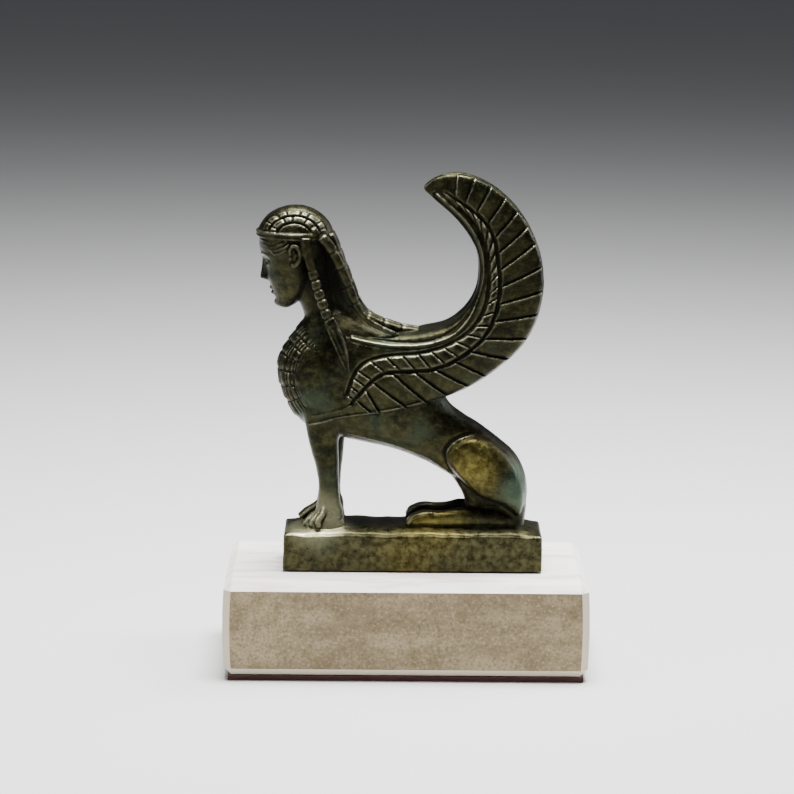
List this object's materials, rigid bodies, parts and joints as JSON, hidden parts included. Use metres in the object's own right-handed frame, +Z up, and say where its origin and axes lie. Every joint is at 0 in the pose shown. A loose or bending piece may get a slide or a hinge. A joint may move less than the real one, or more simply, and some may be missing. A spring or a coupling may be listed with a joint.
{
  "type": "sphinx statue",
  "caption": "Small cast bronze figure of a seated winged sphinx in the archaic manner, on its own bronze base and a bevelled stone plinth with a felt pad.",
  "frame": {"origin": "middle of the plinth's footprint, on the surface that the felt pad stands on", "axes": "+X along the plinth from the figure's face to its tail, +Y from the side shown in the picture to the far side, +Z up"},
  "size_m": [0.1, 0.055, 0.1366],
  "materials": {
    "patinated_bronze": "satin",
    "pale_stone": "matte",
    "dark_red_felt": "matte"
  },
  "bodies": {
    "root": {"sphinx": "patinated_bronze", "plinth": "pale_stone", "felt_pad": "dark_red_felt"}
  },
  "joints": []
}
